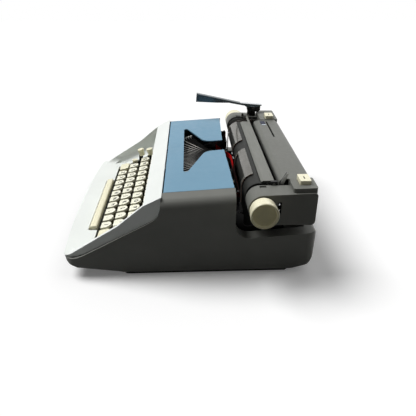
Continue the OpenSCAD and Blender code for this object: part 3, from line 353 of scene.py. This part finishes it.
PLAIN = {
    "body_shell": ("shell", 0.9),
    "keyboard_surround": ("surround", 0.8),
    "base_pan": ("pan", 0.5),
    "rubber_feet": ("rubber", 0.4),
    "main_frame": ("frame", 0.2),
    "type_segment": ("segment", 0.0),
    "ribbon_cover": ("cover", 0.45),
    "ribbon_spool_left": ("spool", 0.2),
    "ribbon_spool_right": ("spool", 0.2),
    "carriage_end_covers": ("carriage", 0.7),
    "paper_table": ("table", 0.3),
    "platen": ("platen", 0.3),
    "paper_bail": ("bail", 0.2),
}


# Keys: cream caps with legends, on skirts painted darker as shade, and dark levers

KEY_TILT = math.radians(12)
KEY_UP = Vector((0, -math.sin(KEY_TILT), math.cos(KEY_TILT)))
KEY_BACK = Vector((0, math.cos(KEY_TILT), math.sin(KEY_TILT)))
CAP_W = 15 * MM
RIM_DEPTH = 0.7 * MM           # points within this depth of a cap's top belong to its rim
RIM_W = CAP_W - 1 * MM
CREAM_H = 2.89 * MM            # depth of the cream part of a cap
SKIRT_H = 7.2 * MM             # from a cap's top to below its skirt
DISH_R = 44 * MM
DISH_DEPTH = 0.6 * MM
LEGEND_SIZE = 8.2 * MM
LEGEND_LIFT = 0.05 * MM
LEGEND_H = 0.04 * MM
LEGEND_BOLD = 0.2 * MM         # how far a character's strokes are thickened
LEGEND_THIN = {"M": 0.0}

NAMED = {"comma": ",", "period": ".", "slash": "/", "semicolon": ";", "quote": "'", "half": "½"}
DIGITS = "1234567890-"


def legend_mesh(text):
    """A flat, slightly raised character, centred on its own middle."""
    data = bpy.data.curves.new("legend", "FONT")
    data.body = text
    data.size = LEGEND_SIZE
    data.align_x = "CENTER"
    data.align_y = "CENTER"
    data.extrude = LEGEND_H
    data.offset = LEGEND_THIN.get(text, LEGEND_BOLD)
    data.resolution_u = 3
    holder = bpy.data.objects.new("legend", data)
    bpy.context.scene.collection.objects.link(holder)
    bpy.context.view_layer.update()
    mesh = bpy.data.meshes.new_from_object(holder.evaluated_get(bpy.context.evaluated_depsgraph_get()))
    bpy.data.objects.remove(holder)
    bpy.data.curves.remove(data)
    return mesh


def print_legend(bm, text, top, index):
    """Lays a character into the dish of the key cap whose rim's middle is at top."""
    mesh = legend_mesh(text)
    made = []
    for v in mesh.vertices:
        sag = DISH_R - math.sqrt(DISH_R ** 2 - v.co.x ** 2 - v.co.y ** 2)
        height = v.co.z + LEGEND_LIFT - DISH_DEPTH + sag
        made.append(bm.verts.new(top + Vector((v.co.x, 0, 0)) + KEY_BACK * v.co.y + KEY_UP * height))
    for polygon in mesh.polygons:
        corners = [made[i] for i in polygon.vertices]
        try:
            face = bm.faces.new(corners)
        except ValueError:
            continue
        face.material_index = index
        face.smooth = False
    bpy.data.meshes.remove(mesh)


def cap_faces(highest):
    """0 for the cream top of a cap, 1 for its skirt, which is painted darker as shade, 2 for stem and lever.
    """
    def choose(face):
        middle = face.calc_center_median()
        depth = highest - middle.dot(KEY_UP)
        if depth < CREAM_H:
            return 0
        return 1 if depth < SKIRT_H else 2
    return choose


def highest_along(node):
    """How far a node reaches along KEY_UP."""
    return max(v.co.dot(KEY_UP) for v in nodes[node].data.vertices)


def cap_tops(node, count):
    """Middles of the rims of a node's caps, from left to right."""
    highest = highest_along(node)
    rim = [v.co for v in nodes[node].data.vertices if highest - v.co.dot(KEY_UP) < RIM_DEPTH]
    left = min(p.x for p in rim)
    right = max(p.x for p in rim)
    step = (right - left - RIM_W) / max(count - 1, 1)
    front = min(p.dot(KEY_BACK) for p in rim)
    back = max(p.dot(KEY_BACK) for p in rim)
    along = (front + back) / 2
    return [KEY_UP * highest + KEY_BACK * along + Vector((left + RIM_W / 2 + step * i, 0, 0))
            for i in range(count)]


def make_key(node, text):
    """One key, or a row of keys, with its printed legends."""
    tops = cap_tops(node, len(text))

    def print_all(bm):
        for top, letter in zip(tops, text):
            print_legend(bm, letter, top, 3)

    dressed(node, ("key", "skirt", "lever", "legend"), 0.25 * MM, cap_faces(highest_along(node)), print_all)


def make_keys():
    for node in nodes:
        if node.startswith("key_"):
            name = node[4:]
            make_key(node, NAMED.get(name, name.upper()))
    make_key("number_keys", DIGITS)


SPACE_CAP_H = 7.2 * MM         # depth of the cream part of the space bar
ROUND_CAP_H = 11.6 * MM        # and of the tall round keys
SHIFT_LEVER_H = 6 * MM         # how far the shift keys' levers reach above their lowest point
BLADE_AREA = 60 * MM * MM      # larger side faces of the shift keys belong to levers


def above(height, up=KEY_UP):
    """0 for faces above a height along up, 1 for those below it."""
    def choose(face):
        return 0 if face.calc_center_median().dot(up) > height else 1
    return choose


def make_other_keys():
    """Space bar, shift keys and the two tall round keys: cream above, dark lever below."""
    bar_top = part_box("space_bar")[1].z
    dressed("space_bar", ("knob", "lever"), 0.4 * MM, above(bar_top - SPACE_CAP_H, Vector((0, 0, 1))))
    lever_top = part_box("shift_keys")[0].z + SHIFT_LEVER_H

    def shift_faces(face):
        blade = abs(face.normal.x) > 0.9 and face.calc_area() > BLADE_AREA
        return 1 if face.calc_center_median().z < lever_top or blade else 0

    dressed("shift_keys", ("knob", "lever"), 0.4 * MM, shift_faces)
    for node in ("tab_key", "margin_release_key"):
        dressed(node, ("knob", "lever"), 0.25 * MM, above(highest_along(node) - ROUND_CAP_H))


# Pieces with more than one finish, and small trim

PLATEN_AXIS = Vector((0, 87, 95.5)) * MM
FAN_HALF = 60                  # degrees from the middle bar to the last one
FAN_STEP = 120 / 42            # degrees from bar to bar
HIGHLIGHT_FROM = -50                # the bars further left get no painted highlight
SLUG_FROM = 84.6 * MM          # from the middle of the fan


DISC_X = 178 * MM              # the knobs' sunk discs lie further out than this
DISC_R = 12.4 * MM


def knob_faces(face):
    """0 for the cream moulding, 1 for the disc sunk into its end, painted a darker cream as shade."""
    middle = face.calc_center_median()
    across = (middle - PLATEN_AXIS).yz.length
    return 1 if abs(face.normal.x) > 0.9 and abs(middle.x) > DISC_X and across < DISC_R else 0


RIM_X = 180 * MM               # the knobs' rims lie further out than this
RIM_FROM = (11 * MM, 13.9 * MM)   # radii between which the inner edge of a rim lies
RIM_WIDER = 1.11


def thin_rim(bm):
    """Moves the inner edge of the knobs' rims outwards, to leave a thin rim round a wide disc."""
    for v in bm.verts:
        out = v.co - PLATEN_AXIS
        out.x = 0
        if abs(v.co.x) > RIM_X and RIM_FROM[0] < out.length < RIM_FROM[1]:
            v.co += out * (RIM_WIDER - 1)


ARM_END_Y = 100 * MM           # where the lever's arm meets its bracket
HUB_PLATE_Z = 126 * MM


def lever_faces(face):
    """0 for the plated arm, whose dark tone is a painted reflection, 1 for its black bracket, 2 for the
    bright plate over the hub.
    """
    middle = face.calc_center_median()
    if middle.y < ARM_END_Y:
        return 0
    return 2 if face.normal.z > 0.8 and middle.z > HUB_PLATE_Z else 1


LEVER_WAIST = (Vector((73.0, 131.9)) * MM, Vector((101.0, 126.5)) * MM)   # on the arm's lower edge, Y and Z
WAIST_LIFT = 2.75 * MM
SAME_PLACE = 0.3 * MM


def thin_waist(bm):
    """Lifts the lower edge of the lever's arm near its hub, which leaves a thin waist there."""
    for v in bm.verts:
        if any((v.co.yz - corner).length < SAME_PLACE for corner in LEVER_WAIST):
            v.co.z += WAIST_LIFT


SLACK_FROM = -2 * MM           # the ribbon's left half hangs forward between these two places along X
SLACK_TO = -114 * MM
SLACK_DEPTH = 20 * MM
SLACK_STEPS = 24


def slack_ribbon(bm):
    """Lets the left half of the ribbon hang forward, in front of the printing point."""
    span = SLACK_TO - SLACK_FROM
    for i in range(SLACK_STEPS + 1):
        whole = bm.verts[:] + bm.edges[:] + bm.faces[:]
        x = SLACK_FROM + span * i / SLACK_STEPS
        bmesh.ops.bisect_plane(bm, geom=whole, plane_co=(x, 0, 0), plane_no=(1, 0, 0))
    for v in bm.verts:
        if SLACK_TO < v.co.x < SLACK_FROM:
            way = (v.co.x - SLACK_FROM) / span
            v.co.y -= SLACK_DEPTH * (1 - math.cos(2 * math.pi * way)) / 2


BEARING_X = -134 * MM          # inner face of the left end plate
SPACING_X = (-131 * MM, -112 * MM)   # the line spacing parts lie between these two places
SPACING_LOW_Z = 99 * MM
SPACING_REAR_Y = 116 * MM


def carriage_faces(face):
    """0 for black enamel, 1 for the left bearing plate's bright face, 2 for the line spacing parts."""
    middle = face.calc_center_median()
    if face.normal.x > 0.9 and abs(middle.x - BEARING_X) < 0.5 * MM:
        return 1
    beside = SPACING_X[0] < middle.x < SPACING_X[1]
    return 2 if beside and middle.z > SPACING_LOW_Z and middle.y < SPACING_REAR_Y else 0


def holder_faces(face):
    """0 for the clear plate, 1 for its end edges."""
    return 1 if abs(face.normal.x) > 0.9 else 0


def bar_faces(face):
    """0 for a type bar with a painted highlight on its top, 1 for the slug at its end, 2 for a bar left
    black.
    """
    out = (face.calc_center_median() - FAN_CENTRE).xy
    if out.length > SLUG_FROM:
        return 1
    turn = math.degrees(math.atan2(out.x, -out.y))
    # only every second bar, and none at the far left, carries the painted highlight
    painted_highlight = turn > HIGHLIGHT_FROM and round((turn + FAN_HALF) / FAN_STEP) % 2 == 0
    return 0 if painted_highlight else 2


def release_faces(face):
    """0 for the black fin, 1 for its bright sides."""
    return 1 if abs(face.normal.x) > 0.7 else 0


def vibrator_faces(face):
    """0 for the dark plate, 1 for its upward faces, which carry a painted highlight in bright steel."""
    return 1 if face.normal.z > 0.8 else 0


MARK_DEPTH = (0.15 * MM, 2 * MM)   # the mark's floor lies between these depths below a button's top


def button_faces(top):
    """0 for the cream button, 1 for the floor of the mark in its top, which is at the height top."""
    def choose(face):
        sunk = top - face.calc_center_median().z
        return 1 if face.normal.z > 0.9 and MARK_DEPTH[0] < sunk < MARK_DEPTH[1] else 0
    return choose


LATHE_SIDES = 20


def lathe(bm, at, profile):
    """A closed turned form along +X from at: profile gives its radius and its distance, in millimetres."""
    turns = [2 * math.pi * i / LATHE_SIDES for i in range(LATHE_SIDES)]
    rings = []
    for r, h in profile:
        rings.append([bm.verts.new(at + Vector((h, r * math.cos(a), r * math.sin(a))) * MM) for a in turns])
    for one, two in zip(rings, rings[1:]):
        for i in range(LATHE_SIDES):
            j = (i + 1) % LATHE_SIDES
            bm.faces.new((one[i], one[j], two[j], two[i])).smooth = True
    for ring in (list(reversed(rings[0])), rings[-1]):
        bm.faces.new(ring)


def loft(bm, rings, index=0):
    """A closed form through rings of points in millimetres, all of one count."""
    made = [[bm.verts.new(Vector(p) * MM) for p in ring] for ring in rings]
    faces = [list(reversed(made[0])), made[-1]]
    for one, two in zip(made, made[1:]):
        faces += [(one[i - 1], one[i], two[i], two[i - 1]) for i in range(len(one))]
    for face in faces:
        bm.faces.new(face).material_index = index


def slab(bm, corners, low, high, index=0):
    """A flat plate over the corners, given in X and Y, from one height to another, all in millimetres."""
    loft(bm, [[(x, y, z) for x, y in corners] for z in (low, high)], index)


def trim(name, body, looks, width, build):
    """A small piece of trim on a body, with edges rounded by so many millimetres."""
    bm = bmesh.new()
    build(bm)
    bmesh.ops.recalc_face_normals(bm, faces=bm.faces)
    mesh = bpy.data.meshes.new(name)
    bm.to_mesh(mesh)
    bm.free()
    for look in looks:
        mesh.materials.append(LOOK[look])
    soften(add_piece(name, mesh, body), width * MM)


STUD_X = 137.6                 # face of the right end plate, where the studs start
STUD_PROFILE = ((1.0, 0), (1.0, 23.2), (0.8, 24), (0.3, 24.3))   # share of the radius, and distance
STUDS = ((106.8, 98.6, 1.7), (107.2, 91.2, 1.0))   # Y, Z and radius


def end_studs(bm):
    """Studs of the platen's bearing, seen through the slot in the right end cover."""
    for y, z, r in STUDS:
        lathe(bm, Vector((STUD_X, y, z)) * MM, [(r * share, h) for share, h in STUD_PROFILE])


def table_plate(bm):
    """A small bare plate at the left end of the paper table, with a pale label beside it."""
    slab(bm, [(-98, 120.6), (-82, 120.6), (-82, 128), (-98, 128)], 115.7, 116.45, 0)
    slab(bm, [(-81.6, 121.4), (-78, 121.4), (-78, 128), (-81.6, 128)], 115.7, 116.4, 1)


DECK_FOLD = (-111.8, 28.8)     # where the deck starts to rise, in Y and Z
DECK_RISE = math.tan(math.radians(25.392))
SEAM_FROM = (-134.5, 25.6)     # where the cheeks' lower edge starts to rise
SEAM_RISE = 0.5317
LINING_X = 146.4               # inner face of the linings
LINING_T = 1.9
LINING_TOP = 1.6               # how far they reach above the cheeks' lower edge
LINING_FOOT = 0.8              # and below the deck
LINING_SUNK = 0.12             # how far the hollow corner's edge lies below the deck
LINING_ENDS = (-129.5, -43.6)
LINING_STEPS = 16
COVE_R = 12.4
COVE_STEPS = 8
COVE_BELOW_TOP = 0.4
WALL_FOOT = (-39.0, 63.1)      # foot of the wall behind the keys, which leans forward
WALL_LEAN = 0.3385


def lining(side):
    """Closes the key well at one side, from the cheek down to the deck, with a hollow corner."""
    turns = [math.pi / 2 * k / COVE_STEPS for k in range(COVE_STEPS + 1)]
    rings = []
    for i in range(LINING_STEPS + 1):
        y = LINING_ENDS[0] + (LINING_ENDS[1] - LINING_ENDS[0]) * i / LINING_STEPS
        floor = DECK_FOLD[1] - LINING_SUNK + max(0, y - DECK_FOLD[0]) * DECK_RISE
        foot = floor - LINING_FOOT
        top = SEAM_FROM[1] + (y - SEAM_FROM[0]) * SEAM_RISE + LINING_TOP
        r = min(COVE_R, top - floor - COVE_BELOW_TOP)
        hollow = [(r * (math.cos(a) - 1), floor + r * (1 - math.sin(a))) for a in turns]
        outline = [(LINING_T, foot), (LINING_T, top), (0, top)] + hollow + [(-r, foot)]
        rings.append([(side * (LINING_X + x), y, z) for x, z in outline])
    # the last ring lies against the wall, which leans forward
    rings[-1] = [(x, WALL_FOOT[0] - (z - WALL_FOOT[1]) * WALL_LEAN, z) for x, y, z in rings[-1]]
    return rings


def well_linings(bm):
    for side in (-1, 1):
        loft(bm, lining(side))


SCREEN_OUTLINE = ((50, 52), (70, 52), (70, 70), (67, 72.5), (60, 72.5), (50, 66))   # Y and Z
SCREEN_X = (131.9, 132.9)
STRIP_X = 133.5
STRIP_Y = (145.2, 146.2)
STRIP_Z = (68.8, 78)


def dust_screens(bm):
    """Small screens on the frame's side plates, below the ends of the carriage."""
    for side in (-1, 1):
        loft(bm, [[(side * x, y, z) for y, z in SCREEN_OUTLINE] for x in SCREEN_X])


def rear_screen(bm):
    """A dark strip between the carriage's floor and the rear wall of the paper table."""
    front, rear = STRIP_Y
    slab(bm, [(-STRIP_X, front), (STRIP_X, front), (STRIP_X, rear), (-STRIP_X, rear)], *STRIP_Z)


def make_trim():
    trim("well_linings", body_of_node["keyboard_surround"], ("surround",), 0.0, well_linings)
    trim("dust_screens", body_of_node["main_frame"], ("frame",), 0.15, dust_screens)
    trim("rear_screen", "carriage", ("frame",), 0.0, rear_screen)
    trim("end_studs", "carriage", ("bright",), 0.0, end_studs)
    trim("table_plate", "carriage", ("navy", "pale"), 0.15, table_plate)


def make_mixed():
    dressed("platen_knobs", ("knob", "disc"), 0.5 * MM, knob_faces, thin_rim)
    dressed("return_lever", ("chrome", "black", "bright"), 0.3 * MM, lever_faces, thin_waist)
    dressed("ribbon", ("ribbon",), 0.0, extra=slack_ribbon)
    dressed("carriage_frame", ("frame", "plate", "link"), 0.3 * MM, carriage_faces)
    dressed("card_holders", ("clear", "edge"), 0.15 * MM, holder_faces)
    dressed("typebars", ("typebars", "slug", "bar"), 0.28 * MM, bar_faces)
    dressed("ribbon_vibrator", ("frame", "bright"), 0.1 * MM, vibrator_faces)
    dressed("paper_release_lever", ("black", "plate"), 0.3 * MM, release_faces)
    for node in ("margin_button_left", "margin_button_right"):
        dressed(node, ("knob", "legend"), 0.5 * MM, button_faces(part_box(node)[1].z))


for node, (look, width) in PLAIN.items():
    dressed(node, (look,), width * MM)
make_mixed()
make_trim()
make_keys()
make_other_keys()


# Stage: a pale floor that keeps the shadow, a strong light from above the far front corner and a soft one
# from behind. A lamp is given by the direction it comes from, its strength and its angle.

FLOOR_SIZE = 6.0
FLOOR_GLOW = 0.12
FLOOR_SEEN = (250, 250, 250)
FLOOR_BOUNCE = (84, 84, 84)    # the floor as the part's sides see it
KEY_LIGHT = (Vector((-0.28, -0.48, 0.83)), 2.85, math.radians(34))
FILL_LIGHT = (Vector((-0.50, 0.62, 0.60)), 0.8, math.radians(80))
SKY_LEVEL = 0.06


def seen_directly(tree):
    """1 for what the camera sees, by itself or in metal and glass, and 0 for light that bounces."""
    path = tree.nodes.new("ShaderNodeLightPath")
    total = path.outputs["Is Camera Ray"]
    for name in ("Is Glossy Ray", "Is Transmission Ray"):
        add = tree.nodes.new("ShaderNodeMath")
        add.operation = "MAXIMUM"
        tree.links.new(total, add.inputs[0])
        tree.links.new(path.outputs[name], add.inputs[1])
        total = add.outputs["Value"]
    return total


def make_floor():
    bm = bmesh.new()
    bmesh.ops.create_grid(bm, x_segments=1, y_segments=1, size=FLOOR_SIZE / 2)
    mesh = bpy.data.meshes.new("floor")
    bm.to_mesh(mesh)
    bm.free()
    floor = bpy.data.objects.new("floor", mesh)
    bpy.context.scene.collection.objects.link(floor)
    f = Finish("floor_pale")
    colour = f.mix(seen_directly(f.tree), linear(FLOOR_BOUNCE), linear(FLOOR_SEEN))
    f.link(colour, f.bsdf.inputs["Base Color"])
    f.bsdf.inputs["Roughness"].default_value = 0.9
    f.bsdf.inputs["Specular IOR Level"].default_value = 0.0
    f.bsdf.inputs["Emission Color"].default_value = (1, 1, 1, 1)
    f.link(f.span(seen_directly(f.tree), 0, FLOOR_GLOW, 0, 1), f.bsdf.inputs["Emission Strength"])
    mesh.materials.append(f.material)


def make_sky():
    world = bpy.data.worlds.new("sky")
    world.use_nodes = True
    bpy.context.scene.world = world
    tree = world.node_tree
    sky = tree.nodes["Background"]
    sky.inputs["Color"].default_value = (1, 1, 1, 1)
    mix = tree.nodes.new("ShaderNodeMix")
    mix.data_type = "FLOAT"
    mix.inputs["A"].default_value = SKY_LEVEL
    mix.inputs["B"].default_value = 1.0
    tree.links.new(seen_directly(tree), mix.inputs["Factor"])
    tree.links.new(mix.outputs["Result"], sky.inputs["Strength"])


def make_lamp(name, where_from, strength, angle):
    data = bpy.data.lights.new(name, "SUN")
    data.energy = strength
    data.angle = angle
    lamp = bpy.data.objects.new(name, data)
    lamp.rotation_euler = where_from.to_track_quat("Z", "Y").to_euler()
    bpy.context.scene.collection.objects.link(lamp)


make_floor()
make_sky()
make_lamp("key_light", *KEY_LIGHT)
make_lamp("fill_light", *FILL_LIGHT)
bpy.context.scene.view_settings.view_transform = "Standard"
